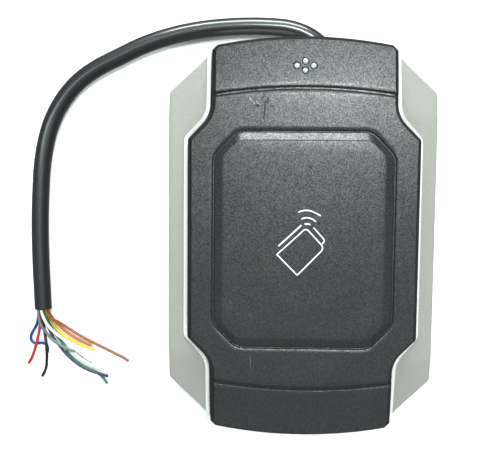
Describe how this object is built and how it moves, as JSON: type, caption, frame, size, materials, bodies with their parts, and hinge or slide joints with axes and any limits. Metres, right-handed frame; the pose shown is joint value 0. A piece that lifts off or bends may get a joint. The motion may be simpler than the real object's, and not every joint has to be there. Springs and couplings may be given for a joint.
{
  "type": "rfid card reader",
  "caption": "Wall-mounted contactless card reader: dark shell cover with a raised presenting panel, silver base housing, status lamps and a multi-core lead with stripped ends.",
  "frame": {"origin": "middle of the housing's rear plane, which is the plane the reader stands on", "axes": "+Z out of the front face, +Y towards the end with the status lamps, +X to the right seen from the front"},
  "size_m": [0.1536, 0.1519, 0.027],
  "materials": {
    "silver_abs": "moulded ABS with a fine silver paint",
    "charcoal_abs": "moulded ABS with a fine sand texture",
    "black_abs": "plain moulded ABS",
    "seal_rubber": "soft rubber",
    "clear_acrylic": "clear moulding with frosted tips",
    "lamp_resin": "clear resin over a pale base",
    "board_laminate": "solder-masked glass laminate",
    "enamelled_copper": "enamelled copper winding",
    "natural_nylon": "natural nylon",
    "chip_epoxy": "moulded epoxy",
    "plated_can": "bright can",
    "ferrite": "pressed ferrite",
    "screw_steel": "zinc-plated steel",
    "sheath_pvc": "smooth dark grey PVC",
    "wire_grey_pvc": "smooth grey PVC insulation",
    "wire_white_pvc": "smooth white PVC insulation",
    "wire_red_pvc": "smooth red PVC insulation",
    "wire_black_pvc": "smooth black PVC insulation",
    "wire_blue_pvc": "smooth blue PVC insulation",
    "wire_yellow_pvc": "smooth yellow PVC insulation",
    "wire_orange_pvc": "smooth orange PVC insulation",
    "wire_brown_pvc": "smooth brown PVC insulation",
    "wire_violet_pvc": "smooth violet PVC insulation",
    "wire_green_pvc": "smooth green PVC insulation"
  },
  "bodies": {
    "reader": {"rear_housing": "silver_abs", "front_cover": "charcoal_abs", "cover_seal": "seal_rubber", "back_plate": "black_abs", "circuit_board": "board_laminate", "antenna_former": "natural_nylon", "antenna_coil": "enamelled_copper", "light_guide": "clear_acrylic", "led_top": "lamp_resin", "led_bottom": "lamp_resin", "led_left": "lamp_resin", "led_right": "lamp_resin", "microcontroller": "chip_epoxy", "reader_chip": "chip_epoxy", "voltage_regulator": "chip_epoxy", "crystal": "plated_can", "inductor": "ferrite", "capacitor_input": "plated_can", "capacitor_output": "plated_can", "buzzer": "black_abs", "cable_header": "natural_nylon", "cable_plug": "natural_nylon", "inner_leads": "sheath_pvc", "cable_gland": "seal_rubber", "security_screw": "screw_steel", "tamper_switch": "black_abs", "tamper_spring": "screw_steel", "cable_sheath": "sheath_pvc", "plate_screw_1": "screw_steel", "board_screw_1": "screw_steel", "plate_screw_2": "screw_steel", "board_screw_2": "screw_steel", "plate_screw_3": "screw_steel", "board_screw_3": "screw_steel", "plate_screw_4": "screw_steel", "board_screw_4": "screw_steel", "wire_grey": "wire_grey_pvc", "wire_white": "wire_white_pvc", "wire_red": "wire_red_pvc", "wire_black": "wire_black_pvc", "wire_blue": "wire_blue_pvc", "wire_yellow": "wire_yellow_pvc", "wire_orange": "wire_orange_pvc", "wire_brown": "wire_brown_pvc", "wire_violet": "wire_violet_pvc", "wire_green": "wire_green_pvc"},
    "tamper_plunger": {"tamper_plunger": "natural_nylon"}
  },
  "joints": [
    {"name": "tamper_slide", "type": "slide", "parent": "reader", "child": "tamper_plunger", "axis": [0, 0, 1], "range_m": [-0.0016, 0.0004], "stiffness_N_per_m": 150, "springref_m": -0.003, "deforming": ["tamper_spring"]}
  ]
}
